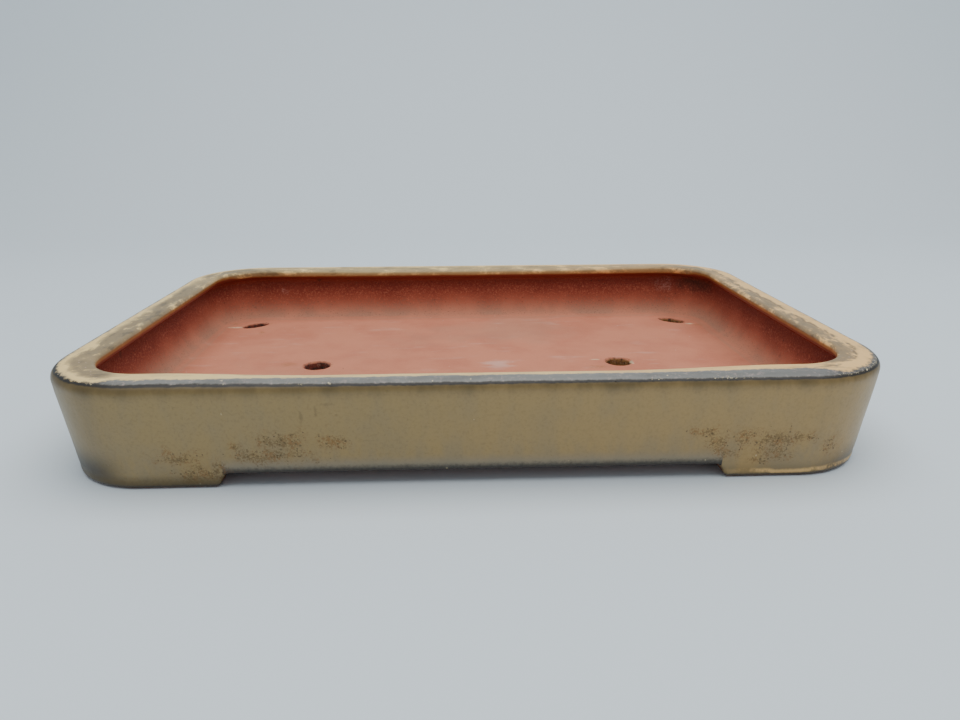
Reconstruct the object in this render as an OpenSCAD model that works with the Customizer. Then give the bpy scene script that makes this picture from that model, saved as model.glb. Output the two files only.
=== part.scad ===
// Shallow rectangular bonsai pot with rounded corners, an inward lip and cut corner feet.
// It is slab built: a floor slab let into four wall slabs, a lip strip luted on top of each wall,
// a foot luted under each corner, and a coil of clay pressed into the seam between floor and wall.
// Every run round the pot is one section, drawn as (distance from the corner's centre, height),
// swept straight along the side and turned through half of the corner at each end.

/* [Body] */
// Overall width at the widest line of the lip
pot_w = 480; // [360:10:600]
// Overall depth at the widest line of the lip
pot_d = 320; // [260:10:420]
// Overall height
pot_h = 63; // [56:1:80]
// Corner radius in plan at the widest line of the lip
corner_r = 56; // [54:1:80]
// How far the foot of the wall stands inside the lip's widest line
flare = 7; // [3:0.1:12]
// Thickness of the wall slabs
wall_t = 12; // [10:0.5:14]

/* [Lip] */
// Width of the lip from its widest line to its inner nose
lip_w = 21.7; // [19:0.1:28]
// Height of the lip strip, down to the luted joint on top of the wall
lip_h = 13; // [12:0.5:16]
// Radius of the outer shoulder
shoulder_r = 5; // [4:0.5:8]
// Radius of the inner nose
nose_r = 3.5; // [3:0.5:4.5]
// How far the lip's underside drops from the nose back to the wall
under_drop = 1.5; // [0.5:0.5:3]

/* [Floor and drainage] */
// Height of the floor slab's underside, which is level with the walls' lower edge
floor_z = 8.5; // [6:0.5:14]
// Thickness of the floor slab
floor_t = 9.5; // [8:0.5:12]
// How far the floor slab is let into the walls
rebate = 5; // [3:0.5:6]
// Radius of the two round drain holes
drain_r = 9; // [6:0.5:12]
// Distance of the round drain holes from the middle of the pot
drain_x = 114; // [80:1:130]
// Length of the four oval corner drain holes
oval_l = 22; // [16:1:28]
// Width of the four oval corner drain holes
oval_w = 12; // [8:1:14]
// Distance of an oval hole beyond the corner's centre, along the pot's width
oval_out_x = 5; // [0:1:12]
// Distance of an oval hole beyond the corner's centre, along the pot's depth
oval_out_y = 10; // [0:1:15]
// Slant of the oval holes, which run across the corner
oval_turn = 36; // [0:1:60]

/* [Feet] */
// Straight length of a foot along a long side, beyond the rounded corner
leg_long = 46.5; // [10:0.5:90]
// Straight length of a foot along a short side, beyond the rounded corner
leg_short = 16; // [8:0.5:60]
// How much shorter each leg of a foot is on the ground than at its top
leg_splay = 3; // [0:0.5:5]
// Thickness of a foot from its outer face to its inner face
foot_t = 15; // [12:0.5:20]
// Radius of the foot's outer edge on the ground
foot_edge_r = 3; // [1:0.5:4]

/* [Floor coils] */
// Width and height of the coil along the floor seam
coil = 14; // [8:0.5:16]
// Radius of the coil's hollow face, as a multiple of its width
coil_hollow = 1.2; // [1.1:0.05:2]

/* [Hidden] */
$fn = 96;

corner_x = pot_w / 2 - corner_r;
corner_y = pot_d / 2 - corner_r;
shoulder_z = pot_h - shoulder_r;
joint_z = pot_h - lip_h;
floor_top = floor_z + floor_t;
slab_r = inner_r(floor_top) + rebate;
cut_past = 1;

// Distance of the outer face from the corner's centre at height z.
function outer_r(z) = corner_r - flare * (shoulder_z - min(z, shoulder_z)) / shoulder_z;
// Distance of the wall's inner face from the corner's centre at height z.
function inner_r(z) = outer_r(z) - wall_t;

// Quarter of a disc, between the +X and +Y directions.
module quarter_disc(r) {
    intersection() {
        circle(r);
        square(r);
    }
}

// The wall's lower inside edge is rebated for the floor slab.
module wall_section() {
    polygon([
        [slab_r, floor_z],
        [outer_r(floor_z), floor_z],
        [outer_r(joint_z), joint_z],
        [inner_r(joint_z), joint_z],
        [inner_r(floor_top), floor_top],
        [slab_r, floor_top]
    ]);
}

module lip_section() {
    shoulder_x = corner_r - shoulder_r;
    nose_x = corner_r - lip_w + nose_r;
    under_z = pot_h - 2 * nose_r;
    polygon([
        [inner_r(joint_z), joint_z],
        [outer_r(joint_z), joint_z],
        [corner_r, shoulder_z],
        [shoulder_x, shoulder_z],
        [shoulder_x, pot_h],
        [nose_x, pot_h],
        [nose_x, under_z],
        [inner_r(under_z), under_z - under_drop]
    ]);
    translate([shoulder_x, shoulder_z]) quarter_disc(shoulder_r);
    translate([nose_x, pot_h - nose_r]) circle(nose_r);
}

module floor_coil_section() {
    wall_x = inner_r(floor_top);
    hollow_r = coil * coil_hollow;
    difference() {
        polygon([
            [wall_x - coil, floor_top],
            [wall_x, floor_top],
            [inner_r(floor_top + coil), floor_top + coil]
        ]);
        translate([wall_x - hollow_r, floor_top + hollow_r]) circle(hollow_r);
    }
}

module foot_section() {
    edge_x = outer_r(0) - foot_edge_r;
    polygon([
        [outer_r(floor_z) - foot_t, floor_z],
        [outer_r(0) - foot_t, 0],
        [edge_x, 0],
        [edge_x, foot_edge_r],
        [outer_r(foot_edge_r), foot_edge_r],
        [outer_r(floor_z), floor_z]
    ]);
    translate([edge_x, foot_edge_r]) mirror([0, 1]) quarter_disc(foot_edge_r);
}

// Sweeps a section along the side that faces +X: straight for 2 * half_run, and round half of
// a corner at each end. reach is the distance of the corners' centres along X.
module side_run(reach, half_run) {
    translate([reach, half_run, 0]) rotate([90, 0, 0]) linear_extrude(2 * half_run) children();
    for (end = [0, 1]) mirror([0, end, 0])
        translate([reach, half_run, 0]) rotate_extrude(angle = 45) children();
}

// Turns a run to one of the four sides: 0 right, 1 back, 2 left, 3 front.
module on_side(side) {
    is_long = side % 2 == 1;
    rotate([0, 0, 90 * side])
        side_run(is_long ? corner_y : corner_x, is_long ? corner_x : corner_y) children();
}

// Mirrors the back right corner's shape to the corner with these signs.
module on_corner(sign_x, sign_y) {
    mirror([sign_x < 0 ? 1 : 0, 0, 0]) mirror([0, sign_y < 0 ? 1 : 0, 0]) children();
}

module wall(side) {
    color("tan") on_side(side) wall_section();
}

module lip(side) {
    color("wheat") on_side(side) lip_section();
}

module floor_coil(side) {
    color("indianred") on_side(side) floor_coil_section();
}

// One leg of a foot along the side that faces +X. The corner's centre is at [reach, half_run].
module foot_leg(reach, half_run, leg) {
    end_y = half_run - leg;
    cutter = [2 * reach + pot_w, foot_t, 2 * floor_z + cut_past];
    difference() {
        translate([reach, half_run, 0]) rotate([90, 0, 0]) linear_extrude(leg) foot_section();
        translate([0, end_y, floor_z]) rotate([atan2(leg_splay, floor_z), 0, 0])
            translate([0, -cutter[1], -2 * floor_z]) cube(cutter);
    }
}

module foot(sign_x, sign_y) {
    color("tan") on_corner(sign_x, sign_y) {
        translate([corner_x, corner_y, 0]) rotate_extrude(angle = 90) foot_section();
        foot_leg(corner_x, corner_y, leg_short);
        mirror([1, -1, 0]) foot_leg(corner_y, corner_x, leg_long);
    }
}

// An oval hole through the floor at the back right corner.
module oval_hole() {
    half_slot = (oval_l - oval_w) / 2;
    depth = floor_t + 2 * cut_past;
    translate([corner_x + oval_out_x, corner_y + oval_out_y, floor_z - cut_past])
        rotate([0, 0, -oval_turn]) {
            for (end = [-1, 1]) translate([end * half_slot, 0, 0])
                cylinder(r = oval_w / 2, h = depth);
            translate([-half_slot, -oval_w / 2, 0]) cube([2 * half_slot, oval_w, depth]);
        }
}

module floor_slab() {
    color("rosybrown") difference() {
        translate([0, 0, floor_z]) linear_extrude(floor_t) {
            square([2 * (corner_x + slab_r), 2 * corner_y], center = true);
            square([2 * corner_x, 2 * (corner_y + slab_r)], center = true);
            for (sign_x = [-1, 1], sign_y = [-1, 1])
                translate([sign_x * corner_x, sign_y * corner_y]) circle(slab_r);
        }
        for (sign_x = [-1, 1])
            translate([sign_x * drain_x, 0, floor_z - cut_past])
                cylinder(r = drain_r, h = floor_t + 2 * cut_past);
        for (sign_x = [-1, 1], sign_y = [-1, 1]) on_corner(sign_x, sign_y) oval_hole();
    }
}

floor_slab();
wall(0);  // wall_right
wall(1);  // wall_back
wall(2);  // wall_left
wall(3);  // wall_front
lip(0);  // lip_right
lip(1);  // lip_back
lip(2);  // lip_left
lip(3);  // lip_front
floor_coil(0);  // floor_coil_right
floor_coil(1);  // floor_coil_back
floor_coil(2);  // floor_coil_left
floor_coil(3);  // floor_coil_front
foot(-1, -1);  // foot_front_left
foot(1, -1);  // foot_front_right
foot(1, 1);  // foot_back_right
foot(-1, 1);  // foot_back_left
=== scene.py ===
"""A shallow, slab built bonsai pot: glazed outside and over the lip, bare red clay inside.

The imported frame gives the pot's sizes. Every run round the pot is one section, drawn as (distance
from the corner's centre, height) and swept along the side and round the corners. The finishes are
made of shader nodes.
"""

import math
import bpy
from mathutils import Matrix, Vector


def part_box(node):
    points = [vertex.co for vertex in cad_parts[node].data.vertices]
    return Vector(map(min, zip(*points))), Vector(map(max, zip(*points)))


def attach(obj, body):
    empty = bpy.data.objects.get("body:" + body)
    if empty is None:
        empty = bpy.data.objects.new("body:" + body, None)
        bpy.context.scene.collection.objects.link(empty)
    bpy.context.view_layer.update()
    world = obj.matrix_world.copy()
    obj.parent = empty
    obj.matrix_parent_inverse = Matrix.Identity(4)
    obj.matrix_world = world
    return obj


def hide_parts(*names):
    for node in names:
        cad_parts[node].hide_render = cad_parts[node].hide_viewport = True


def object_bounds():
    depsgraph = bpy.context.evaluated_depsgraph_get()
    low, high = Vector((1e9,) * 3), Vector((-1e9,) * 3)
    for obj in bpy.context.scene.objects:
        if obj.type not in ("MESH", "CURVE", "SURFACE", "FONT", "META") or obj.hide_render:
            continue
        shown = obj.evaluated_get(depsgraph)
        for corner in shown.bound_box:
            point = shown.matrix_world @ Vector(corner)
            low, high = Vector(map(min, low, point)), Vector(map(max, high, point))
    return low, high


bl_info = {
    "name": "Glazed Bonsai Pot",
    "version": (1, 0, 0),
    "blender": (4, 5, 0),
    "location": "View3D > Sidebar > Bonsai Pot",
    "description": "Builds a glazed bonsai pot from its slabs, lips, coils and feet",
    "category": "Object",
}

import bmesh
import bpy
from bpy.props import FloatProperty, FloatVectorProperty, PointerProperty
from mathutils import Matrix, Vector, noise

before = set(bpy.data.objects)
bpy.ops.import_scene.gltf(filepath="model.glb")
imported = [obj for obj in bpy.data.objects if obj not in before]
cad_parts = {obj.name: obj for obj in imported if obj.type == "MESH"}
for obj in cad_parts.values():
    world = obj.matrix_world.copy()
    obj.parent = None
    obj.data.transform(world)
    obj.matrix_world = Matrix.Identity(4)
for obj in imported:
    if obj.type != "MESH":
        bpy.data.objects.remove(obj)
CAD_LOW, CAD_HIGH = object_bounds()

MM = 0.001
SIDES = ("right", "back", "left", "front")
CORNERS = {
    "back_right": (1, 1),
    "back_left": (-1, 1),
    "front_left": (-1, -1),
    "front_right": (1, -1),
}
EIGHTH = math.radians(45)
# How finely things are cut: steps round half of a corner of the pot, of a rounding in a section
# and round a drain hole, and length of a step along a side.
BEND_STEPS = 26
ROUND_STEPS = 5
HOLE_STEPS = 56
RUN_STEP = 3.5 * MM
# Edges that turn more than this stay sharp, and vertices nearer than this are one.
SHARP_TURN = math.radians(38)
MERGE_DISTANCE = 1e-6
# The hand made unevenness: what its noise starts from, and its slow and quick waves per metre.
NOISE_SEED = 1
SLOW_WAVES, QUICK_WAVES = 11, 60
QUICK_SHIFT = Vector((3, 5, 7))
# The stage, in metres: the sheet's size, middle, rise at the back and fold, and the light panel.
SHEET_SIZE, SHEET_MIDDLE, SHEET_RISE, SHEET_FOLD = (12, 5, 1), (0, -1.3, 0), (0, 0.3, 3), 0.5
PANEL_SIZE, PANEL_PLACE = (2.4, 1.8), (0.2, -0.2, 1.7)
PAPER_TONE, ROOM_TONE = (220, 229, 234), (222, 232, 240)

POT_TOP = CAD_HIGH.z
FOOT_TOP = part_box("foot_front_left")[1].z
FLOOR_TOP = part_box("floor_slab")[1].z
LIP_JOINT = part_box("lip_front")[0].z
COIL_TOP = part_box("floor_coil_front")[1].z
# The lip of a long side ends in the middle of each rounded corner, which gives its radius.
CORNER_R = (CAD_HIGH.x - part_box("lip_front")[1].x) / (1 - math.cos(EIGHTH))
CORNER_X = CAD_HIGH.x - CORNER_R
CORNER_Y = CAD_HIGH.y - CORNER_R
# A floor coil ends there too, so its innermost corner gives where the floor is left bare.
FLOOR_R = (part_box("floor_coil_front")[1].y + CORNER_Y) / -math.cos(EIGHTH)
LEG_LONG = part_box("foot_front_left")[1].x + CORNER_X
LEG_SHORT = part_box("foot_front_left")[1].y + CORNER_Y


def tone(red, green, blue):
    """A colour given in display values from 0 to 255, as linear RGBA."""
    shares = [channel / 255 for channel in (red, green, blue)]
    linear = [c / 12.92 if c <= 0.04045 else ((c + 0.055) / 1.055) ** 2.4 for c in shares]
    return (*linear, 1.0)


def length_property(name, description, millimetres):
    return FloatProperty(
        name=name, description=description, default=millimetres * MM, min=0.0,
        unit="LENGTH", subtype="DISTANCE",
    )


def colour_property(name, description, *display):
    return FloatVectorProperty(
        name=name, description=description, default=tone(*display), min=0.0, max=1.0,
        size=4, subtype="COLOR",
    )


class PotShape(bpy.types.PropertyGroup):
    """Sizes that the frame's boxes don't give."""

    flare: length_property(
        "Flare", "How far the foot of the wall stands inside the lip's widest line", 7
    )
    shoulder_z: length_property("Widest height", "Height at which the pot is widest", 58)
    wall: length_property("Wall", "Thickness of the wall slabs", 12)
    rebate: length_property("Rebate", "How far the floor slab is let into the walls", 5)
    foot: length_property("Foot", "Thickness of a foot from its outer face to its inner face", 15)
    splay: length_property(
        "Splay", "How much shorter a foot's leg is on the ground than at its top", 3
    )
    edge: length_property(
        "Soft edge", "Rounding of the edges round the gaps between the feet", 2.4
    )
    drain_x: length_property(
        "Drain place", "Distance of the round drain holes from the middle", 114
    )
    drain_r: length_property("Drain radius", "Radius of the round drain holes", 9)
    oval_out_x: length_property(
        "Oval offset X", "Oval holes beyond the corner's centre, along the width", 5
    )
    oval_out_y: length_property(
        "Oval offset Y", "Oval holes beyond the corner's centre, along the depth", 10
    )
    oval_long: length_property("Oval length", "Half of the length of the oval holes", 11)
    oval_wide: length_property("Oval width", "Half of the width of the oval holes", 6)
    oval_turn: FloatProperty(
        name="Oval slant", description="Slant of the oval holes across the corner",
        default=math.radians(36), unit="ROTATION", subtype="ANGLE",
    )
    sag: length_property("Sag", "How far the front lip's inner edge has sunk in the middle", 2.3)
    reach_in: length_property("Reach in", "How much further in the short sides' lips reach", 2)
    unevenness: length_property(
        "Unevenness", "Most that a hand made surface strays from its true line", 0.45
    )


class PotColours(bpy.types.PropertyGroup):
    """Colours of the glaze and of the clay."""

    ochre: colour_property("Ochre", "Glaze on the walls", 151, 127, 80)
    ochre_warm: colour_property("Warm ochre", "Glaze where it fired warmer", 164, 134, 83)
    ochre_grey: colour_property("Grey ochre", "Glaze where it pooled grey", 128, 118, 96)
    # On the lip's shoulder, this grey-blue is partly a painted sky reflection.
    shoulder: colour_property(
        "Shoulder", "Grey-blue glaze breaking over the shoulder", 125, 123, 117
    )
    rim_line: colour_property("Rim line", "Dark line under the shoulder", 22, 17, 13)
    cream: colour_property("Cream", "Glaze on top of the lip", 242, 208, 138)
    # Besides the lip's glaze, this colour paints a highlight low on the right-hand feet.
    cream_warm: colour_property("Warm cream", "Peachier glaze on top of the lip", 242, 194, 122)
    mottle: colour_property("Mottle", "Grey mottling on top of the lip", 116, 98, 70)
    nose: colour_property("Nose", "Orange-brown glaze at the lip's inner edge", 150, 102, 52)
    rust: colour_property("Rust", "Rusty stain", 150, 88, 34)
    # Besides moss stains, this colour paints shade under the rim and at the left corners.
    moss: colour_property("Moss", "Dark olive stain low on the walls", 84, 68, 34)
    stain: colour_property("Stain", "Ochre-brown stain on the walls and in the holes", 130, 86, 34)
    footline: colour_property("Footline", "Dark glaze where the foot meets the ground", 46, 38, 29)
    chip: colour_property("Chip", "Small pale chips and lime specks", 238, 220, 178)
    clay: colour_property("Clay", "Bare red clay", 168, 84, 60)
    clay_deep: colour_property("Deep clay", "Clay that stayed clean under the lip", 116, 42, 27)
    bloom: colour_property("Bloom", "Dusty salt bloom on the floor", 210, 135, 104)
    dust: colour_property("Dust", "Greyer dust in the hollow of the coils", 170, 130, 106)
    lime: colour_property("Lime", "Pale mineral marks on the floor", 222, 190, 176)
    soil: colour_property("Soil", "Dark soil stain in pits and holes", 58, 32, 20)


class PotStudio(bpy.types.PropertyGroup):
    """The camera and the light."""

    camera_place: FloatVectorProperty(
        name="Camera", description="Where the camera stands", default=(-0.0107, -0.5006, 0.1891),
        unit="LENGTH", subtype="TRANSLATION",
    )
    camera_turn: FloatVectorProperty(
        name="Camera turn", description="How the camera is turned", subtype="EULER",
        default=(math.radians(71.40), math.radians(0.12), math.radians(-2.22)),
    )
    lens: FloatProperty(
        name="Lens", description="Focal length in millimetres", default=26.25, min=1.0
    )
    overhead: FloatProperty(
        name="Overhead light", description="Power of the overhead panel", default=34.0, min=0.0
    )
    ambient: FloatProperty(
        name="Ambient light", description="Strength of the light all round", default=0.62, min=0.0
    )


class BonsaiPot(bpy.types.PropertyGroup):
    """All settings of the pot."""

    shape: PointerProperty(type=PotShape, name="Shape", description="Sizes of the pot")
    colours: PointerProperty(type=PotColours, name="Colours", description="Colours of the pot")
    studio: PointerProperty(type=PotStudio, name="Studio", description="Camera and light")


def settings():
    """The pot's settings in this scene."""
    return bpy.context.scene.bonsai_pot


def ease(value, start, end):
    """0 at start, 1 at end, smooth between them."""
    share = min(max((value - start) / (end - start), 0.0), 1.0)
    return share * share * (3 - 2 * share)


# ---- shader maths


class Wire:
    """An output of a shader node. Arithmetic on it adds Math nodes to its tree."""

    def __init__(self, finish, socket):
        self.finish = finish
        self.socket = socket

    def math(self, operation, *values):
        return self.finish.add("ShaderNodeMath", {"operation": operation}, dict(enumerate(values)))

    def __add__(self, other):
        return self.math("ADD", self, other)

    def __radd__(self, other):
        return self.math("ADD", other, self)

    def __sub__(self, other):
        return self.math("SUBTRACT", self, other)

    def __rsub__(self, other):
        return self.math("SUBTRACT", other, self)

    def __mul__(self, other):
        return self.math("MULTIPLY", self, other)

    def __rmul__(self, other):
        return self.math("MULTIPLY", other, self)

    def __truediv__(self, other):
        return self.math("DIVIDE", self, other)

    def __pow__(self, other):
        return self.math("POWER", self, other)

    def __abs__(self):
        return self.math("ABSOLUTE", self)

    def __lt__(self, other):
        return self.math("LESS_THAN", self, other)

    def __gt__(self, other):
        return self.math("GREATER_THAN", self, other)

    def at_least(self, other):
        return self.math("MAXIMUM", self, other)

    def at_most(self, other):
        return self.math("MINIMUM", self, other)


class Finish:
    """A material's node tree, with places in millimetres in the pot's own frame."""

    def __init__(self, name):
        self.material = bpy.data.materials.new(name)
        self.material.use_nodes = True
        self.tree = self.material.node_tree
        self.shader = self.tree.nodes["Principled BSDF"]
        here = self.add("ShaderNodeTexCoord", {}, {}, "Object")
        scaling = {0: here, "Scale": 1 / MM}
        self.place = self.add("ShaderNodeVectorMath", {"operation": "SCALE"}, scaling)
        self.x, self.y, self.z = (
            self.add("ShaderNodeSeparateXYZ", {}, {0: self.place}, axis) for axis in range(3)
        )
        past_x = (abs(self.x) - CORNER_X / MM).at_least(0.0)
        past_y = (abs(self.y) - CORNER_Y / MM).at_least(0.0)
        past_both = past_x.at_most(past_y)
        self.corner = self.fade(past_both, 2, 16)
        self.bend = self.fade(past_both, 0, 28)
        self.on_short_side = self.fade(past_x - past_y, -8, 8)
        self.front = 1 - self.fade(self.y, -CORNER_Y / MM - 30, -CORNER_Y / MM)
        # Distance inside the pot's widest line, and depth behind the leaning outer face.
        self.inset = CORNER_R / MM - (past_x * past_x + past_y * past_y) ** 0.5
        shape = settings().shape
        widest = shape.shoulder_z / MM
        lean = shape.flare / shape.shoulder_z
        self.depth = self.inset - (widest - self.z.at_most(widest)) * lean

    def add(self, kind, settings, sockets, output=0):
        """Adds a node: its settings first, then its sockets' values or links. Returns an output."""
        node = self.tree.nodes.new(kind)
        for name, value in settings.items():
            if name == "stops":
                self.set_stops(node.color_ramp, value)
            else:
                setattr(node, name, value)
        for name, value in sockets.items():
            if isinstance(value, Wire):
                self.tree.links.new(value.socket, node.inputs[name])
            else:
                node.inputs[name].default_value = value
        return Wire(self, node.outputs[output])

    @staticmethod
    def set_stops(ramp, stops):
        while len(ramp.elements) < len(stops):
            ramp.elements.new(1.0)
        for element, (position, colour) in zip(ramp.elements, stops):
            element.position = position
            element.color = colour

    def fade(self, value, start, end):
        """0 at start, 1 at end, smooth between them."""
        return self.add(
            "ShaderNodeMapRange", {"interpolation_type": "SMOOTHSTEP"}, {0: value, 1: start, 2: end}
        )

    def vector(self, operation, first, second):
        """Vector maths on two places."""
        return self.add("ShaderNodeVectorMath", {"operation": operation}, {0: first, 1: second})

    def mix(self, share, first, second):
        """Mixes two colours."""
        mixing = {"data_type": "RGBA", "clamp_factor": True}
        return self.add("ShaderNodeMix", mixing, {0: share, 6: first, 7: second}, 2)

    def stretched(self, stretch, shift):
        moved = self.vector("ADD", self.place, (shift,) * 3)
        return self.vector("MULTIPLY", moved, stretch)

    def clouds(self, size, detail=2.0, rough=0.5, stretch=(1, 1, 1), shift=0.0):
        """Soft noise, about 0.5, with features of that size in millimetres."""
        place = self.stretched(stretch, shift)
        look = {"Vector": place, "Scale": 1 / size, "Detail": detail, "Roughness": rough}
        return self.add("ShaderNodeTexNoise", {}, look)

    def streaks(self, size, detail, rough, along, shift=0.0):
        """Noise drawn out along whichever side of the pot it is on."""
        one = self.clouds(size, detail, rough, (along, 1, 1), shift)
        other = self.clouds(size, detail, rough, (1, along, 1), shift + 9)
        return one + (other - one) * self.on_short_side

    def specks(self, size, share, radius=0.3, shift=0.0, stretch=(1, 1, 1)):
        """Scattered spots, one in some of the cells of that size, each of its own radius."""
        cells = {"Vector": self.stretched(stretch, shift), "Scale": 1 / size}
        away = self.add("ShaderNodeTexVoronoi", {}, cells, "Distance")
        chance = self.add("ShaderNodeTexVoronoi", {}, cells, "Color")
        first, second = (
            self.add("ShaderNodeSeparateColor", {}, {0: chance}, axis) for axis in range(2)
        )
        reach = (second * 0.7 + 0.3) * radius
        return (first < share) * (1 - self.fade(away / reach, 0.6, 1.0))

    def spot(self, centre, reach, ragged, core=0.3):
        """1 in the middle of an ellipsoid and 0 outside it, its edge broken up by a noise."""
        away = self.vector("SUBTRACT", self.place, centre)
        scaled = self.vector("MULTIPLY", away, [1 / size for size in reach])
        length = self.add("ShaderNodeVectorMath", {"operation": "LENGTH"}, {0: scaled}, "Value")
        return 1 - self.fade(length + ragged, core, 1.0)

    def spots(self, places, ragged, core=0.3):
        """The union of several spots."""
        union = 0.0
        for centre, reach in places:
            spot = self.spot(centre, reach, ragged, core)
            union = spot.at_least(union)
        return union

    def set_surface(self, colour, roughness, bumps):
        """Links the surface. bumps are (height, distance in millimetres), the coarsest first."""
        normal = None
        for height, distance in bumps:
            sockets = {"Height": height, "Distance": distance * MM, "Strength": 1.0}
            if normal:
                sockets["Normal"] = normal
            normal = self.add("ShaderNodeBump", {}, sockets)
        for name, wire in (("Base Color", colour), ("Roughness", roughness), ("Normal", normal)):
            self.tree.links.new(wire.socket, self.shader.inputs[name])
        return self.material


# The finishes work in millimetres from the ground: the gaps under the pot end at 8.5, the floor's
# top is at 18, the pot is widest at 58 and the lip's top is at 63.

# Marks of use on the front wall, as (x, height, half width, half height).
WALL_STAINS = (
    (-129, 26, 7, 5),
    (-124, 20, 14, 9),
    (-103, 28, 22, 10),
    (-106, 20, 30, 9),
    (-77, 28, 14, 8),
    (-148, 10, 26, 11),
    (-160, 19, 18, 8),
    (127, 30, 13, 8),
    (134, 23, 15, 9),
    (140, 17, 15, 8),
    (147, 26, 15, 9),
    (163, 15, 20, 9),
    (165, 24, 26, 8),
    (180, 26, 16, 7),
    (199, 20, 9, 9),
)
WALL_SCRATCHES = (
    (-92, 44, 1.4, 6),
    (-84, 46, 1.2, 5),
    (-78, 51, 5, 1.6),
)
# Where the front wall stands, and how far its marks reach in and out of it.
FRONT_WALL, MARK_DEPTH = -156, 20
# Marks of use inside, as (centre, reach).
CLAY_DARK = (
    ((-135, 148, 54), (4, 8, 5)),
    ((216, 134, 49), (30, 30, 12)),
    ((-226, -61, 50), (2.5, 3, 6)),
    ((226, -28, 30), (3, 2.4, 2.4)),
    ((226, 54, 23), (2, 1.6, 1.6)),
    ((226, 2, 28), (2, 1.4, 1.4)),
    ((-130, 148, 30), (1.6, 3, 1.6)),
)
CLAY_PALE = (
    ((190, 148, 45), (16, 9, 9)),
    ((-169, 148, 42), (7, 9, 5)),
)
FLOOR_LIME = (
    ((-205, 108, 18), (9, 2.6, 4)),
    ((-118, 147, 28), (1.8, 3, 1.5)),
    ((86, 147, 28), (1.8, 3, 1.5)),
    ((202, 102, 18), (5, 2.4, 4)),
    ((123.5, -2, 18), (1.8, 6, 4)),
    ((97, 5, 18), (5, 1.4, 4)),
)
FLOOR_RUST = (
    ((-178, 90, 18), (4, 6, 4)),
    ((-208, 118, 20), (5, 5, 5)),
    ((-136, 3, 18), (9, 7, 4)),
    ((208, 98, 18), (7, 4, 4)),
    ((96, -12, 18), (12, 5, 4)),
)


def on_front(marks):
    """The front wall's marks as (centre, reach)."""
    return [((x, FRONT_WALL, height), (wide, MARK_DEPTH, high)) for x, height, wide, high in marks]


def clay_colour(finish, colours):
    """Bare red clay, deeper under the lip and bloomed low down. Returns it, its grain, bloom and
    pits."""
    fade, mix = finish.fade, finish.mix
    grain = finish.clouds(1.5, 4.0, 0.85)
    patches = finish.clouds(34, 3.0, 0.55, shift=40.0)
    high = finish.z + (patches - 0.5) * 18 + finish.on_short_side * 5
    colour = mix(fade(high, 26, 56), colours.clay, colours.clay_deep)
    colour = mix(fade(grain, 0.5, 0.38) * 0.7, colour, colours.clay_deep)
    pale_sand = fade(grain, 0.52, 0.64) * (0.5 - fade(finish.z, 36, 54) * 0.3)
    colour = mix(pale_sand, colour, colours.bloom)
    colour = mix(finish.specks(2.6, 0.3, 0.3, 11.0) * 0.6, colour, colours.soil)
    sandy = (patches - 0.5) * 8 + (grain - 0.5) * 46
    bloom = 1 - fade(finish.z + sandy * fade(finish.z, 18, 24), 19, 38)
    tint = mix(fade(patches, 0.35, 0.7) * 0.3, colours.bloom, colours.clay)
    hollow = fade(finish.z, 18.1, 20)
    tint = mix(hollow * (0.3 + fade(patches, 0.4, 0.6) * 0.5), tint, colours.dust)
    colour = mix(bloom * 0.85, colour, tint)
    colour = mix(bloom * hollow * fade(grain, 0.44, 0.34) * 0.5, colour, colours.soil)
    seam = fade(finish.z, 18.02, 18.1) * (1 - fade(finish.z, 18.2, 18.8))
    colour = mix(seam * 0.3, colour, colours.dust)
    colour = mix((1 - fade(finish.z, 16.5, 17.5)) * 0.5, colour, colours.soil)
    ragged = (finish.clouds(7, 4.0, 0.6, shift=81.0) - 0.5) * 1.8
    pale = finish.spots(CLAY_PALE, ragged, 0.0)
    colour = mix(pale * fade(grain, 0.4, 0.6) * 0.25, colour, colours.lime)
    dark = finish.spots(CLAY_DARK, ragged * 0.7, 0.0)
    colour = mix(dark * (0.5 + fade(grain, 0.6, 0.45) * 0.4), colour, colours.soil)
    pits = finish.specks(30, 0.4, 0.03, 5.0)
    return mix(pits, colour, colours.soil), grain, bloom, pits


def drain_stain(finish, shape, colours, colour):
    """Rust and lime round the drain holes, and dark clay inside them."""
    fade, mix = finish.fade, finish.mix
    ragged = finish.clouds(3.5, 4.0, 0.65, shift=7.0)
    from_x = abs(finish.x) - shape.drain_x / MM
    round_edge = (from_x * from_x + finish.y * finish.y) ** 0.5 / (shape.drain_r / MM)
    out_x = abs(finish.x) - (CORNER_X + shape.oval_out_x) / MM
    out_y = abs(finish.y) - (CORNER_Y + shape.oval_out_y) / MM
    cos, sin = math.cos(shape.oval_turn), math.sin(shape.oval_turn)
    along = (out_x * cos - out_y * sin) / (shape.oval_long / MM)
    across = (out_x * sin + out_y * cos) / (shape.oval_wide / MM)
    edge = round_edge.at_most((along * along + across * across) ** 0.5)
    halo = 1 - fade(edge + (ragged - 0.5) * 1.2, 0.98, 1.2)
    colour = mix(halo * 0.4, colour, colours.soil)
    tan = (1 - fade(edge, 1.15, 1.5)) * fade(ragged, 0.58, 0.66)
    colour = mix(tan * 0.6, colour, colours.nose)
    inside = (1 - fade(edge + (ragged - 0.5) * 0.2, 1.02, 1.08)) * (1 - fade(finish.z, 17.3, 17.9))
    reddish = mix(fade(finish.x, -60, 60), colours.clay_deep, colours.nose)
    throat = mix(fade(ragged, 0.34, 0.54), colours.soil, reddish)
    crumbs = finish.clouds(1.6, 3.0, 0.7, shift=3.0)
    throat = mix(fade(crumbs, 0.56, 0.66) * 0.6, throat, colours.dust)
    return mix(inside * 0.9, colour, throat)


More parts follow.
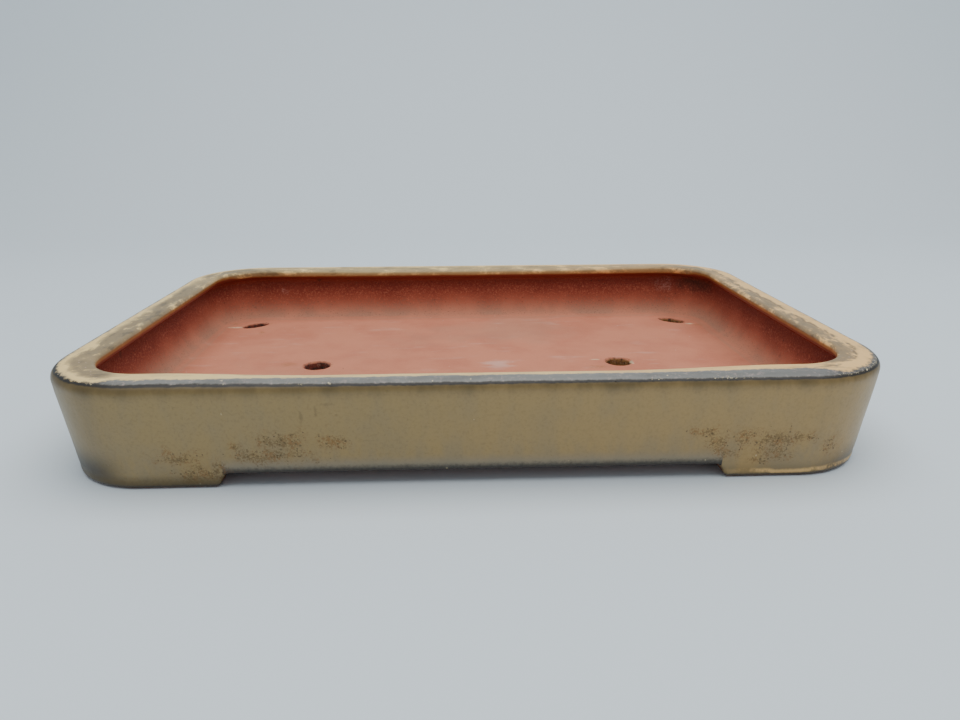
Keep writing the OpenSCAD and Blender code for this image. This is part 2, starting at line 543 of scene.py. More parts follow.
def dusty_clay(name):
    """The finish of the floor and of the coils."""
    pot = settings()
    colours = pot.colours
    finish = Finish(name)
    fade, mix = finish.fade, finish.mix
    colour, grain, bloom, pits = clay_colour(finish, colours)
    floor = fade(finish.z, 14, 16) * (1 - fade(finish.z, 18.6, 20))
    wiped = finish.clouds(9, 5.0, 0.6, stretch=(0.25, 1, 1), shift=90.0)
    patch = finish.clouds(45, 2.0, 0.5, shift=17.0)
    lime = fade(wiped, 0.54, 0.7) * fade(patch, 0.42, 0.62) * floor
    colour = mix(lime * 0.2, colour, colours.lime)
    colour = mix(finish.specks(6, 0.12, 0.12, 3.0) * floor * 0.7, colour, colours.lime)
    ragged = (finish.clouds(3, 4.0, 0.65, shift=63.0) - 0.5) * 2
    smear = finish.spot((22, -3, 18), (15, 13, 4), (wiped - 0.5) * 3)
    colour = mix(smear * floor * 0.4, colour, colours.lime)
    orange = finish.spots(FLOOR_RUST, ragged, 0.1)
    colour = mix(orange * fade(grain, 0.52, 0.62) * 0.7, colour, colours.rust)
    colour = mix(orange * 0.25, colour, colours.nose)
    colour = drain_stain(finish, pot.shape, colours, colour)
    colour = mix(finish.spots(FLOOR_LIME, ragged * 0.8, 0.2) * 0.6, colour, colours.chip)
    roughness = 0.78 + bloom * 0.12 + (grain - 0.5) * 0.1
    bumps = ((finish.clouds(7, 3.0), 0.3), (grain, 0.25), (1 - pits, 0.5))
    return finish.set_surface(colour, roughness, bumps)


def glaze_colour(finish, colours):
    """Ochre glaze of the walls, greyer where it ran thin. Returns it, its runs and fine grain."""
    fade, mix = finish.fade, finish.mix
    broad = finish.clouds(70, 2.0, 0.5)
    runs = finish.clouds(16, 4.0, 0.6, stretch=(1, 1, 0.4), shift=30.0)
    fine = finish.clouds(1.8, 4.0, 0.65, shift=8.0)
    warm = fade(finish.x + (broad - 0.5) * 260, -220, 240)
    colour = mix(warm, colours.ochre, colours.ochre_warm)
    colour = mix(fade(runs, 0.4, 0.75) * 0.3, colour, colours.ochre_grey)
    colour = mix(fade(fine, 0.42, 0.75) * 0.22, colour, colours.moss)
    return colour, runs, fine


def wall_ageing(finish, colours, colour, runs, fine):
    """Painted shade under the rim and at the left corners, fades along the lower edges, stains,
    lime specks, a painted highlight low on the right feet and a dark footline. Returns the colour
    and where it is stained."""
    fade, mix = finish.fade, finish.mix
    far_x, far_y = abs(finish.x), abs(finish.y)
    long_gap = (far_y > CORNER_Y / MM) * (far_x < (CORNER_X - LEG_LONG) / MM)
    short_gap = (far_x > CORNER_X / MM) * (far_y < (CORNER_Y - LEG_SHORT) / MM)
    gap = long_gap.at_least(short_gap)
    # Painted shade: the upper wall is darkened towards the rim with the moss colour.
    under_rim_shade = fade(finish.z + (runs - 0.5) * 8, 50, 62)
    colour = mix(under_rim_shade * under_rim_shade * 0.95, colour, colours.moss)
    low = finish.z + (runs - 0.5) * 8
    haze = (1 - fade(low, 14, 34)) * fade(runs, 0.35, 0.6) * 0.4
    colour = mix(haze, colour, colours.ochre_grey)
    colour = mix((1 - fade(low, 10, 20)) * gap * 0.6, colour, colours.shoulder)
    low_line = (1 - fade(finish.z + (fine - 0.5) * 4, 9.5, 14.5)) * gap
    colour = mix(low_line * 0.9, colour, colours.rim_line)
    left = 1 - fade(finish.x, -60, 60)
    low_corner = (1 - fade(low - left * 7, 1, 19)) * finish.bend
    colour = mix(low_corner * (0.75 + left * 0.2), colour, colours.rim_line)
    # Painted shade: the left-hand corners are darkened with the moss colour.
    colour = mix(finish.bend * left * 0.3, colour, colours.moss)

    crumbs = finish.clouds(1.35, 4.0, 0.8, shift=77.0)
    breakup = (finish.clouds(7, 4.0, 0.65, shift=19.0) - 0.5) * 2.4
    around = fade(finish.clouds(32, 3.0, 0.55, shift=51.0), 0.5, 0.66)
    elsewhere = around * (1 - fade(finish.z, 12, 30)) * (1 - finish.front)
    density = finish.spots(on_front(WALL_STAINS), breakup, 0.0).at_least(elsewhere)
    amber = density * fade(crumbs, 0.42, 0.58)
    colour = mix(amber * 0.45, colour, colours.stain)
    hue = mix(fade(finish.clouds(5, 3.0, shift=4.0), 0.45, 0.58), colours.moss, colours.stain)
    flecks = fade(crumbs + density * 0.2, 0.62, 0.72)
    colour = mix(flecks * 0.45, colour, hue)
    grit = finish.specks(2.2, density * 0.7, 0.42, 15.0)
    grit = grit.at_least(finish.specks(1.4, density * 0.5, 0.45, 18.0))
    colour = mix(grit * 0.65, colour, mix(fade(crumbs, 0.45, 0.6), colours.moss, colours.soil))
    frayed = (finish.clouds(4, 4.0, 0.7, shift=9.0) - 0.5) * 2.6
    scratches = finish.spots(on_front(WALL_SCRATCHES), frayed, 0.0)
    colour = mix(scratches * 0.35, colour, colours.moss)

    near_edge = 1 - fade(finish.z, 9, 15)
    lime = finish.specks(4.5, 0.25, 0.2, 21.0) * near_edge
    lime = lime.at_least(finish.specks(12, 0.5, 0.06, 2.0, (1, 1, 0.45)) * 0.6)
    colour = mix(lime * 0.8, colour, colours.chip)
    colour = mix(finish.specks(26, 0.35, 0.025, 71.0), colour, colours.footline)
    grubby = (1 - fade(finish.z + (fine - 0.5) * 5, 3, 10)) * (0.38 + left * 0.5)
    colour = mix(grubby, colour, colours.moss)
    # Painted highlight: a pale warm line on the bead low on the right-hand feet, where light from
    # the right catches it.
    highlight_height = finish.z + (runs - 0.5) * 6
    foot_highlight = fade(highlight_height, 2.4, 3.8) * (1 - fade(highlight_height, 4.6, 6.4)) * fade(finish.x, 135, 165)
    colour = mix(foot_highlight * fade(runs + fine * 0.5, 0.55, 0.85) * 0.7, colour, colours.cream_warm)
    footline = 1 - fade(finish.z + (fine - 0.5) * 2, 1.6, 3.4)
    return mix(footline * 0.9, colour, colours.footline), density


def lip_bands(finish, colours, colour):
    """The lip's bands from the outside in: dark line, grey-blue shoulder, cream top, brown nose.
    Returns the colour and its chips."""
    fade, mix = finish.fade, finish.mix
    wobble = finish.clouds(12, 3.0, 0.6, shift=14.0) - 0.5
    ragged = finish.clouds(2.4, 4.0, 0.65, shift=25.0) - 0.5
    height = finish.z + wobble * 0.9 + ragged * 0.9 - 0.8 * (1 - fade(finish.x, -200, -20))
    drop = POT_TOP / MM - finish.z
    cloudy = finish.streaks(9, 4.0, 0.6, 0.4, 3.0)
    inner_face = fade(finish.inset, 15.5, 17.5)
    on_top = fade(finish.z, 60.2, 61.2).at_least(inner_face)

    # Painted sky reflection: the grey-blue band over the shoulder's rounding, mixed into the
    # glaze's own colour.
    slate_and_sky_reflection = fade(cloudy, 0.44, 0.68) * 0.22 + fade(finish.x, 60, 200) * 0.24
    slate_and_sky_reflection = mix(slate_and_sky_reflection, colours.shoulder, colours.rim_line)
    slate_and_sky_reflection = mix(fade(ragged, 0.02, 0.2) * 0.25, slate_and_sky_reflection, colours.lime)
    slate_and_sky_reflection = mix(finish.corner * fade(ragged, 0.1, -0.06) * 0.5, slate_and_sky_reflection, colours.rim_line)
    colour = mix(fade(height, 61.2, 61.8), colour, slate_and_sky_reflection)
    line = fade(height, 60.1, 60.8) * (1 - fade(height, 61.2, 61.9))
    colour = mix(line * (1 - inner_face) * 0.96, colour, colours.rim_line)

    warm = fade(finish.x + wobble * 200, -40, 200)
    cream = mix(warm, colours.cream, colours.cream_warm)
    cream = mix(fade(cloudy, 0.5, 0.7) * 0.35, cream, colours.mottle)
    edge = 5.0 + finish.front * (1 - finish.corner) * (4.6 + fade(finish.x, 90, 160) * 2.4)
    inward = finish.inset + wobble * 5 + ragged * 6
    colour = mix(fade(inward - edge, -1.2, 1.2) * on_top, colour, cream)

    right = fade(finish.x, 150, 210)
    patches = finish.streaks(11, 5.0, 0.68, 0.4, 44.0)
    inner = fade(finish.inset + wobble * 6 - right * 3.5, 5.5, 13)
    inner = inner * (1 - finish.front * (1 - finish.corner) * 0.85)
    calm = 1 - fade(finish.y, 60, 100) * (1 - finish.corner) * 0.25
    mottle = fade(patches + inner * 0.16 + ragged * 0.16, 0.5, 0.64) * on_top
    colour = mix(mottle * (0.08 + inner * 0.78) * calm, colour, colours.mottle)
    dark_patch = fade(patches + inner * 0.12 + ragged * 0.1, 0.66, 0.76) * inner * on_top
    colour = mix(dark_patch * 0.45, colour, colours.footline)
    vein = 1 - fade(abs(finish.inset + wobble * 9 - 13.5), 0.2, 1.5)
    colour = mix(vein * right * fade(patches, 0.4, 0.5) * on_top * 0.6, colour, colours.footline)
    bright = finish.specks(2.0, 0.35, 0.3, 12.0) * finish.corner * inner * on_top
    colour = mix(bright * 0.6, colour, colours.lime)

    along = (1 - finish.on_short_side) * 3
    tan = fade(drop + wobble * 1.4 + ragged - along, 1.6, 3.4) * inner_face
    colour = mix(tan * 0.9, colour, colours.nose)
    brown = fade(drop + wobble * 1.2 - along * 0.6, 3.6, 5.2) * fade(finish.depth, 4, 6)
    colour = mix(brown, colour, colours.clay_deep)

    crust_at = fade(finish.clouds(22, 2.0, shift=37.0) + finish.corner * 0.22, 0.5, 0.66)
    crust_at = crust_at * fade(height, 60.8, 61.4) * (1 - fade(finish.inset, 2.5, 6))
    crumbs = finish.clouds(1.5, 4.0, 0.75, shift=29.0) - 0.5
    chips = fade(crumbs + crust_at * 0.1, 0.13, 0.19) * crust_at
    scattered = finish.specks(5, 0.16, 0.2, 33.0) * fade(finish.z, 60, 61)
    chips = chips.at_least(scattered * (1 - fade(finish.inset, 5, 9)))
    return mix(chips * 0.85, colour, colours.chip), chips


def worn_glaze(name):
    """The finish of walls, lips and feet: glaze outside and over the lip, bare clay elsewhere, with
    some painted shade, highlight and reflection.
    """
    colours = settings().colours
    finish = Finish(name)
    fade, mix = finish.fade, finish.mix
    clay, grain, _, clay_pits = clay_colour(finish, colours)
    colour, runs, fine = glaze_colour(finish, colours)
    colour, stained = wall_ageing(finish, colours, colour, runs, fine)
    colour, chips = lip_bands(finish, colours, colour)
    outside = (1 - fade(finish.depth, 5, 6)) * fade(finish.z + (fine - 0.5) * 2, 0.1, 1.2)
    over_lip = fade(finish.z, 53.5, 55.5)
    glazed = outside.at_least(over_lip)
    colour = mix(glazed, clay, colour)
    bare = 1 - glazed
    gloss = 0.38 + (runs - 0.5) * 0.16 + stained * 0.2 + fade(finish.z, 60, 61.5) * 0.1
    roughness = glazed * gloss + bare * (0.8 + (grain - 0.5) * 0.1)
    skin = finish.clouds(5, 3.0, 0.5, shift=70.0)
    pits = finish.specks(7, 0.16, 0.1, 60.0) * glazed + clay_pits * bare
    fine_relief = grain * bare + fine * glazed * 0.25 + chips * glazed * 0.8
    bumps = ((skin, 0.16), (fine_relief, 0.22), (1 - pits, 0.3))
    return finish.set_surface(colour, roughness, bumps)


# ---- shaping


def outer_reach(height):
    """Distance of the pot's outer face from the corner's centre at that height."""
    shape = settings().shape
    return CORNER_R - shape.flare * max(shape.shoulder_z - height, 0.0) / shape.shoulder_z


def section(corners, step=1.2 * MM):
    """A closed section in the XZ plane, from its corners as (reach, height, rounding)."""
    bm = bmesh.new()
    verts = [bm.verts.new((reach, 0.0, height)) for reach, height, _ in corners]
    bm.faces.new(verts)
    for vert, (_, _, rounding) in zip(verts, corners):
        if rounding:
            bmesh.ops.bevel(
                bm, geom=[vert], offset=rounding, offset_type="OFFSET", segments=ROUND_STEPS,
                profile=0.5, affect="VERTICES", material=-1, clamp_overlap=True,
            )
    bmesh.ops.delete(bm, geom=bm.faces[:], context="FACES_ONLY")
    for edge in bm.edges[:]:
        cuts = int(edge.calc_length() / step)
        if cuts:
            bmesh.ops.subdivide_edges(bm, edges=[edge], cuts=cuts)
    return bm


def only_verts(parts):
    return [part for part in parts if isinstance(part, bmesh.types.BMVert)]


def face_outwards(bm):
    bmesh.ops.recalc_face_normals(bm, faces=bm.faces[:])


def sweep(bm, start, moves):
    """Stands the section at the angle start round the first corner's centre, sweeps it along the
    moves and caps it. A move is (corner's centre, angle turned, shift in all, steps)."""
    place = Matrix.Translation(moves[0][0]) @ Matrix.Rotation(start, 4, "Z")
    bmesh.ops.transform(bm, matrix=place, verts=bm.verts[:])
    first = bm.edges[:]
    front = bm.verts[:] + first
    for centre, angle, shift, steps in moves:
        swept = bmesh.ops.spin(
            bm, geom=front, cent=centre, axis=(0, 0, 1), dvec=Vector(shift) / steps, angle=angle,
            steps=steps, use_merge=False, use_duplicate=False,
        )
        front = swept["geom_last"]
    last = [part for part in front if isinstance(part, bmesh.types.BMEdge)]
    for rim in (first, last):
        bmesh.ops.edgeloop_fill(bm, edges=rim)
    face_outwards(bm)
    return bm


def sweep_side(bm, side):
    """Sweeps a section along one of the four sides, with half of a corner at each end."""
    is_long = side in ("back", "front")
    reach, half_run = (CORNER_Y, CORNER_X) if is_long else (CORNER_X, CORNER_Y)
    near, far = Vector((reach, -half_run, 0)), Vector((reach, half_run, 0))
    moves = (
        (near, EIGHTH, (0, 0, 0), BEND_STEPS),
        (near, 0.0, far - near, round(2 * half_run / RUN_STEP)),
        (far, EIGHTH, (0, 0, 0), BEND_STEPS),
    )
    sweep(bm, -EIGHTH, moves)
    turn = Matrix.Rotation(math.radians(90) * SIDES.index(side), 4, "Z")
    bmesh.ops.transform(bm, matrix=turn, verts=bm.verts[:])
    return bm


def uneven(point, shape):
    """The place of a surface point of a pot built by hand, kept inside the frame's box."""
    slow = noise.noise_vector(point * SLOW_WAVES)
    quick = noise.noise_vector(point * QUICK_WAVES + QUICK_SHIFT)
    stray = (slow * 0.8 + quick * 0.25) * shape.unevenness
    # Less of it up and down, and none on the feet, which stand true.
    stray.z *= 0.4 if FOOT_TOP < point.z else 0.0
    moved = point + stray
    return Vector(max(low, min(high, at)) for at, low, high in zip(moved, CAD_LOW, CAD_HIGH))


def link_object(name, data):
    """Adds an object with this data to the scene."""
    thing = bpy.data.objects.new(name, data)
    bpy.context.scene.collection.objects.link(thing)
    return thing


def object_from(bm, name):
    """Makes the bmesh an object, and frees it."""
    mesh = bpy.data.meshes.new(name)
    bm.to_mesh(mesh)
    bm.free()
    return link_object(name, mesh)


def finish_from(maker):
    """The material that this function makes: made once, and named after it."""
    return bpy.data.materials.get(maker.__name__) or maker(maker.__name__)


def make_piece(bm, name, maker, slot, *nodes):
    """Makes the bmesh a piece of the pot that stands for those CAD nodes."""
    shape = settings().shape
    # The vector noise would start from the clock.
    noise.seed_set(NOISE_SEED)
    for vert in bm.verts:
        vert.co = uneven(vert.co, shape)
    for face in bm.faces:
        face.smooth = True
    for edge in bm.edges:
        edge.smooth = edge.calc_face_angle(0.0) < SHARP_TURN
    piece = object_from(bm, name)
    piece.data.materials.append(finish_from(maker))
    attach(piece, "root")
    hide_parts(*nodes)


def make_sides(name, maker, slot, node, make_section, reshape=None):
    """Makes the four pieces of one kind, a section swept along each side."""
    shape = settings().shape
    for side in SIDES:
        bm = sweep_side(make_section(shape), side)
        if reshape:
            reshape(bm, side, shape)
        make_piece(bm, f"{name}_{side}", maker, slot, f"{node}_{side}")


# ---- walls


def soften_gap_edge(bm, side, shape):
    """Rounds the wall's lower outer edge along the gap between the feet, but not over the feet."""
    is_long = side in ("back", "front")
    gap = CORNER_X - LEG_LONG if is_long else CORNER_Y - LEG_SHORT
    radius = shape.edge
    for vert in bm.verts:
        x, y, z = vert.co
        along, across, reach = (abs(x), abs(y), CORNER_Y) if is_long else (abs(y), abs(x), CORNER_X)
        inward = reach + outer_reach(FOOT_TOP) - across
        up = z - FOOT_TOP
        share = ease(along, gap + 0.5 * MM, gap - 3.5 * MM)
        if share and inward < radius and up < radius:
            off = Vector((inward - radius, up - radius))
            off *= radius / max(off.length, 1e-9) - 1
            across_sign = math.copysign(1.0, y if is_long else x)
            step = -across_sign * off.x * share
            vert.co += Vector((0, step, 0) if is_long else (step, 0, 0))
            vert.co.z += off.y * share


def wall_section(shape):
    inner_top = outer_reach(LIP_JOINT) - shape.wall
    inner_low = outer_reach(FLOOR_TOP) - shape.wall
    return section((
        (inner_low + shape.rebate, FOOT_TOP, 0),
        (outer_reach(FOOT_TOP), FOOT_TOP, 0),
        (outer_reach(LIP_JOINT), LIP_JOINT, 0),
        (inner_top, LIP_JOINT, 0),
        (inner_low, FLOOR_TOP, 0),
        (inner_low + shape.rebate, FLOOR_TOP, 0),
    ), step=0.8 * MM)


def lip_section(shape):
    """Corners by their inset: joint, shoulder, flat top, nose and hollow underside."""
    outer = CORNER_R - outer_reach(LIP_JOINT)
    inner = outer + shape.wall
    corners = (
        (inner, LIP_JOINT, 0),
        (outer, LIP_JOINT, 0),
        (0.2 * MM, POT_TOP - 4.6 * MM, 1.6 * MM),
        (2.2 * MM, POT_TOP - 1.3 * MM, 1.8 * MM),
        (6.0 * MM, POT_TOP, 2.0 * MM),
        (20.9 * MM, POT_TOP - 0.1 * MM, 2.2 * MM),
        (21.7 * MM, POT_TOP - 4.6 * MM, 2.4 * MM),
        (18.8 * MM, POT_TOP - 7.6 * MM, 2.0 * MM),
        (14.2 * MM, POT_TOP - 9.2 * MM, 1.4 * MM),
        (inner + 0.1 * MM, POT_TOP - 11.4 * MM, 0),
    )
    return section([(CORNER_R - inset, height, rounding) for inset, height, rounding in corners])


def settle_lip(bm, side, shape):
    """Lets the overhang sink between the corners of a long side, as it does in the kiln, and reach
    a little further in on the short sides."""
    sag = {"front": shape.sag, "back": shape.sag / 2}.get(side, 0.0)
    for vert in bm.verts:
        x, y, z = vert.co
        past_x, past_y = max(abs(x) - CORNER_X, 0.0), max(abs(y) - CORNER_Y, 0.0)
        inset = CORNER_R - math.hypot(past_x, past_y)
        over = ease(inset, 7 * MM, 20 * MM) * ease(z, LIP_JOINT, LIP_JOINT + 4 * MM)
        vert.co.z -= sag * over * ease(abs(x), CORNER_X - 8 * MM, CORNER_X - 104 * MM)
        inwards = math.copysign(shape.reach_in, x)
        vert.co.x -= inwards * over * ease(abs(x), CORNER_X - 60 * MM, CORNER_X)


def coil_section(shape):
    """A coil smeared hollow: its face leaves the floor and meets the wall without a step."""
    wall_low = outer_reach(FLOOR_TOP) - shape.wall
    foot, seam = Vector((FLOOR_R, FLOOR_TOP)), Vector((wall_low, FLOOR_TOP))
    head = Vector((outer_reach(COIL_TOP) - shape.wall, COIL_TOP))
    steps = 16
    face = [
        foot * (1 - share) ** 2 + seam * 2 * share * (1 - share) + head * share**2
        for share in (step / steps for step in range(steps + 1))
    ]
    face[0].y += 0.05 * MM
    return section([(*point, 0) for point in (seam, *reversed(face), foot)])


def foot_section(shape):
    ground_r = outer_reach(0.0)
    return section((
        (outer_reach(FOOT_TOP) - shape.foot, FOOT_TOP, 0),
        (ground_r - shape.foot + 0.4 * MM, 0.0, 1.6 * MM),
        (ground_r - 0.4 * MM, 0.0, 2.2 * MM),
        (outer_reach(3.4 * MM) + 0.3 * MM, 3.4 * MM, 1.2 * MM),
        (outer_reach(5.6 * MM) - 0.1 * MM, 5.6 * MM, 1.2 * MM),
        (outer_reach(FOOT_TOP), FOOT_TOP, 0),
    ), step=0.8 * MM)


def shape_foot_ends(bm, shape):
    """Splays the ends of a foot's legs, flares them under the wall, and rounds their edges."""
    radius = shape.edge
    for vert in bm.verts:
        z = vert.co.z
        low = 1 - z / FOOT_TOP
        flare = 1.6 * MM * max(0.0, 1 - low * 3) ** 2
        for axis, other, leg, centre, far in (
            (1, 0, LEG_SHORT, CORNER_Y, CORNER_X),
            (0, 1, LEG_LONG, CORNER_X, CORNER_Y),
        ):
            done = centre - vert.co[axis]
            if done <= 0:
                continue
            scale = (leg - shape.splay * low + flare) / leg
            vert.co[axis] = centre - done * scale
            left = (leg - done) * scale
            if left < radius:
                drop = radius - math.sqrt(max(radius**2 - (radius - left) ** 2, 0.0))
                middle = far + outer_reach(z) - shape.foot / 2
                lean = (vert.co[other] - middle) / (shape.foot / 2)
                vert.co[other] -= drop * math.copysign(abs(lean) ** 3, lean)
                vert.co.z += drop * max(0.0, low) ** 3


def make_foot(corner, signs, shape):
    quarter = math.radians(90)
    centre = Vector((CORNER_X, CORNER_Y, 0))
    tip = 3 * MM
    start = centre - Vector((0, LEG_SHORT, 0))
    moves = (
        (start, 0.0, (0, tip, 0), 7),
        (start, 0.0, (0, LEG_SHORT - tip, 0), 5),
        (centre, quarter, (0, 0, 0), 48),
        (centre, 0.0, (tip - LEG_LONG, 0, 0), 20),
        (centre, 0.0, (-tip, 0, 0), 7),
    )
    bm = sweep(foot_section(shape), 0.0, moves)
    shape_foot_ends(bm, shape)
    bmesh.ops.scale(bm, vec=(*signs, 1), verts=bm.verts[:])
    face_outwards(bm)
    make_piece(bm, f"cut_foot_{corner}", worn_glaze, "wall_glaze", f"foot_{corner}")


# ---- floor


def hole_cutter(name, radius, stretch, turn, place):
    """A tool with a soft, slightly ragged edge that cuts one drain hole."""
    low, high = FOOT_TOP, FLOOR_TOP
    over, soft = 3 * MM, 1.3 * MM
    bm = bmesh.new()
    profile = [
        bm.verts.new((reach, 0.0, height))
        for reach, height in (
            (0.0, low - over), (radius + over, low - over),
            (radius + soft, low), (radius, low + soft),
            (radius, high - soft * 1.2), (radius + soft, high - 0.3 * MM),
            (radius + over + soft, high + over), (0.0, high + over),
        )
    ]
    for one, two in zip(profile, profile[1:]):
        bm.edges.new((one, two))
    bmesh.ops.subdivide_edges(bm, edges=bm.edges[3:4], cuts=6)
    geom = bm.verts[:] + bm.edges[:]
    bmesh.ops.spin(
        bm, geom=geom, cent=(0, 0, 0), axis=(0, 0, 1), angle=math.tau, steps=HOLE_STEPS,
        use_merge=True,
    )
    bmesh.ops.remove_doubles(bm, verts=bm.verts[:], dist=MERGE_DISTANCE)
    face_outwards(bm)
    for vert in bm.verts:
        out = Vector((vert.co.x, vert.co.y, 0))
        if out.length:
            at = vert.co + place
            ragged = noise.noise(at * 260) * 0.5 * MM + noise.noise(at * 700) * 0.25 * MM
            vert.co += out.normalized() * ragged
    turned = Matrix.Translation(place) @ Matrix.Rotation(turn, 4, "Z")
    matrix = turned @ Matrix.Diagonal((*stretch, 1.0, 1.0))
    bmesh.ops.transform(bm, matrix=matrix, verts=bm.verts[:])
    return object_from(bm, name)


def floor_plate(shape):
    """The slab before its holes are cut: a rounded plate, cut into a grid so that it can stray."""
    reach = outer_reach(FLOOR_TOP) - shape.wall + shape.rebate
    bm = bmesh.new()
    bmesh.ops.create_grid(bm, x_segments=1, y_segments=1, size=0.5)
    size = (2 * (CORNER_X + reach), 2 * (CORNER_Y + reach), 1)
    bmesh.ops.scale(bm, vec=size, verts=bm.verts[:])
    bmesh.ops.translate(bm, vec=(0, 0, FOOT_TOP), verts=bm.verts[:])
    bmesh.ops.bevel(
        bm, geom=bm.verts[:], offset=reach, offset_type="OFFSET", segments=40, profile=0.5,
        affect="VERTICES", material=-1, clamp_overlap=False,
    )
    spacing = 7 * MM
    for axis, half in ((Vector((1, 0, 0)), size[0] / 2), (Vector((0, 1, 0)), size[1] / 2)):
        count = int(half / spacing)
        for cut in range(-count, count + 1):
            everything = bm.verts[:] + bm.edges[:] + bm.faces[:]
            cut_at = axis * (cut + 0.31) * spacing
            bmesh.ops.bisect_plane(bm, geom=everything, plane_co=cut_at, plane_no=axis)
    grown = bmesh.ops.extrude_face_region(bm, geom=bm.faces[:], use_keep_orig=True)["geom"]
    bmesh.ops.translate(bm, vec=(0, 0, FLOOR_TOP - FOOT_TOP), verts=only_verts(grown))
    face_outwards(bm)
    return bm


def cut_holes(bm, shape):
    """Cuts the two round and the four oval drain holes."""
    blank = object_from(bm, "floor_blank")
    cutters = []
    for sign in (-1, 1):
        place = Vector((sign * shape.drain_x, 0, 0))
        cutters.append(hole_cutter(f"drain_tool_{sign}", shape.drain_r, (1.0, 1.0), 0.0, place))
    oval = (1.0, shape.oval_wide / shape.oval_long)
    out_x, out_y = CORNER_X + shape.oval_out_x, CORNER_Y + shape.oval_out_y
    for corner, (sign_x, sign_y) in CORNERS.items():
        place = Vector((sign_x * out_x, sign_y * out_y, 0))
        turn = -shape.oval_turn * sign_x * sign_y
        cutters.append(hole_cutter(f"oval_tool_{corner}", shape.oval_long, oval, turn, place))
    for cutter in cutters:
        cut = blank.modifiers.new(cutter.name, "BOOLEAN")
        cut.object = cutter
        cut.operation = "DIFFERENCE"
        cut.solver = "EXACT"
    graph = bpy.context.evaluated_depsgraph_get()
    bm = bmesh.new()
    bm.from_mesh(blank.evaluated_get(graph).to_mesh())
    for tool in (*cutters, blank):
        bpy.data.objects.remove(tool)
    bmesh.ops.remove_doubles(bm, verts=bm.verts[:], dist=MERGE_DISTANCE)
    return bm


# ---- operators


class PotOperator:
    """What the pot's operators share."""

    bl_options = {"REGISTER", "UNDO"}


class POT_OT_floor(PotOperator, bpy.types.Operator):
    """Make the floor slab with its drain holes"""

    bl_idname = "bonsai_pot.floor"
    bl_label = "Floor"

    def execute(self, context):
        shape = settings().shape
        bm = cut_holes(floor_plate(shape), shape)
        make_piece(bm, "clay_floor", dusty_clay, "bare_clay", "floor_slab")
        return {"FINISHED"}


class POT_OT_walls(PotOperator, bpy.types.Operator):
    """Make the four wall slabs"""

    bl_idname = "bonsai_pot.walls"
    bl_label = "Walls"

    def execute(self, context):
        make_sides("glazed_wall", worn_glaze, "wall_glaze", "wall", wall_section, soften_gap_edge)
        return {"FINISHED"}


class POT_OT_lips(PotOperator, bpy.types.Operator):
    """Make the four lip strips"""

    bl_idname = "bonsai_pot.lips"
    bl_label = "Lips"

    def execute(self, context):
        make_sides("glazed_lip", worn_glaze, "lip_glaze", "lip", lip_section, settle_lip)
        return {"FINISHED"}


class POT_OT_coils(PotOperator, bpy.types.Operator):
    """Make the four coils along the floor seam"""

    bl_idname = "bonsai_pot.coils"
    bl_label = "Floor coils"

    def execute(self, context):
        make_sides("clay_coil", dusty_clay, "bare_clay", "floor_coil", coil_section)
        return {"FINISHED"}


class POT_OT_feet(PotOperator, bpy.types.Operator):
    """Make the four corner feet"""

    bl_idname = "bonsai_pot.feet"
    bl_label = "Feet"

    def execute(self, context):
        for corner, signs in CORNERS.items():
            make_foot(corner, signs, settings().shape)
        return {"FINISHED"}


class POT_OT_stage(PotOperator, bpy.types.Operator):
    """Make the pale floor and backdrop, the light and the camera"""

    bl_idname = "bonsai_pot.stage"
    bl_label = "Stage"

    def execute(self, context):
        studio = settings().studio
        make_backdrop()
        make_light(studio)
        camera = link_object("camera", bpy.data.cameras.new("camera"))
        camera.location = studio.camera_place
        camera.rotation_euler = studio.camera_turn
        camera.data.lens = studio.lens
        camera.data.clip_start = 0.01
        context.scene.camera = camera
        return {"FINISHED"}


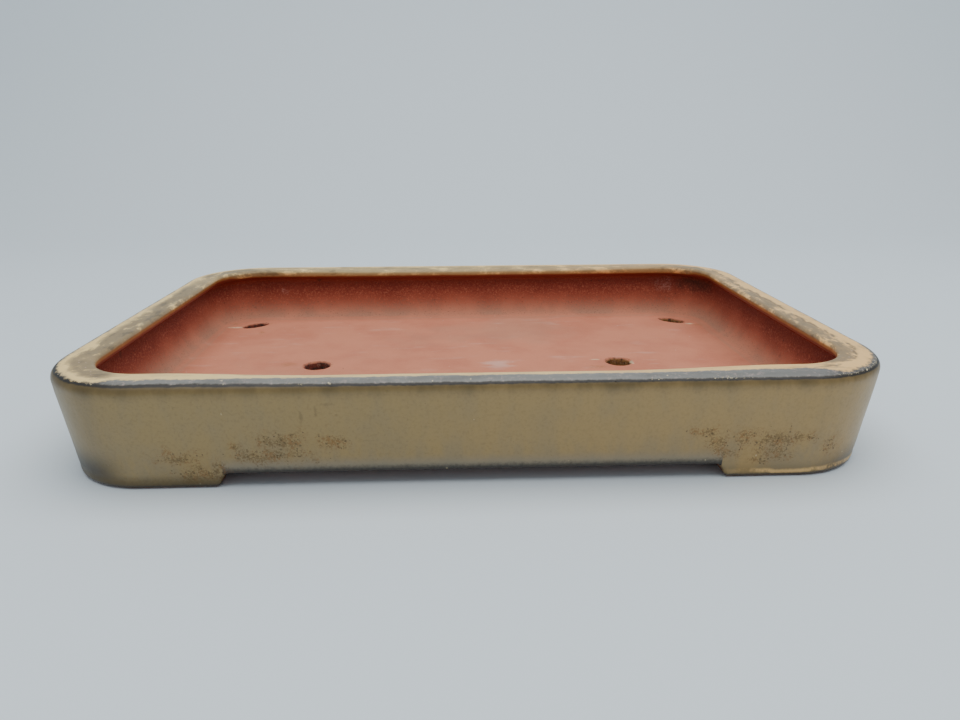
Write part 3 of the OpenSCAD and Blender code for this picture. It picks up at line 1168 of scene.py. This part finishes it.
def make_backdrop():
    """A pale sheet that lies as the floor and sweeps up behind the pot."""
    bm = bmesh.new()
    bmesh.ops.create_grid(bm, x_segments=1, y_segments=1, size=0.5)
    bmesh.ops.scale(bm, vec=SHEET_SIZE, verts=bm.verts[:])
    bmesh.ops.translate(bm, vec=SHEET_MIDDLE, verts=bm.verts[:])
    back = [edge for edge in bm.edges if all(vert.co.y > 0 for vert in edge.verts)]
    raised = bmesh.ops.extrude_edge_only(bm, edges=back)["geom"]
    bmesh.ops.translate(bm, vec=SHEET_RISE, verts=only_verts(raised))
    fold = [edge for edge in bm.edges if len(edge.link_faces) == 2]
    bmesh.ops.bevel(
        bm, geom=fold, offset=SHEET_FOLD, offset_type="OFFSET", segments=16, profile=0.5,
        affect="EDGES", material=-1,
    )
    for face in bm.faces:
        face.smooth = True
    face_outwards(bm)
    backdrop = object_from(bm, "backdrop")
    paper = bpy.data.materials.new("pale_paper")
    paper.use_nodes = True
    shader = paper.node_tree.nodes["Principled BSDF"]
    shader.inputs["Base Color"].default_value = tone(*PAPER_TONE)
    shader.inputs["Roughness"].default_value = 0.7
    backdrop.data.materials.append(paper)


def make_light(studio):
    """Soft light all round, and a wide panel overhead."""
    world = bpy.data.worlds.new("soft_room")
    world.use_nodes = True
    background = world.node_tree.nodes["Background"]
    background.inputs["Color"].default_value = tone(*ROOM_TONE)
    background.inputs["Strength"].default_value = studio.ambient
    bpy.context.scene.world = world
    panel = bpy.data.lights.new("overhead_panel", "AREA")
    panel.shape = "RECTANGLE"
    panel.size, panel.size_y = PANEL_SIZE
    panel.energy = studio.overhead
    overhead = link_object("overhead_panel", panel)
    overhead.location = PANEL_PLACE


class POT_PT_panel(bpy.types.Panel):
    """Lists the steps that build the pot"""

    bl_idname = "POT_PT_panel"
    bl_label = "Bonsai Pot"
    bl_space_type = "VIEW_3D"
    bl_region_type = "UI"
    bl_category = "Bonsai Pot"

    def draw(self, context):
        for operator in OPERATORS:
            self.layout.operator(operator.bl_idname)


OPERATORS = (POT_OT_floor, POT_OT_walls, POT_OT_lips, POT_OT_coils, POT_OT_feet, POT_OT_stage)
CLASSES = (PotShape, PotColours, PotStudio, BonsaiPot, *OPERATORS, POT_PT_panel)


def register():
    for cls in CLASSES:
        bpy.utils.register_class(cls)
    bpy.types.Scene.bonsai_pot = PointerProperty(type=BonsaiPot)


def unregister():
    del bpy.types.Scene.bonsai_pot
    for cls in reversed(CLASSES):
        bpy.utils.unregister_class(cls)


def main():
    register()
    for operator in OPERATORS:
        group, name = operator.bl_idname.split(".")
        getattr(getattr(bpy.ops, group), name)()


if __name__ == "__main__":
    main()
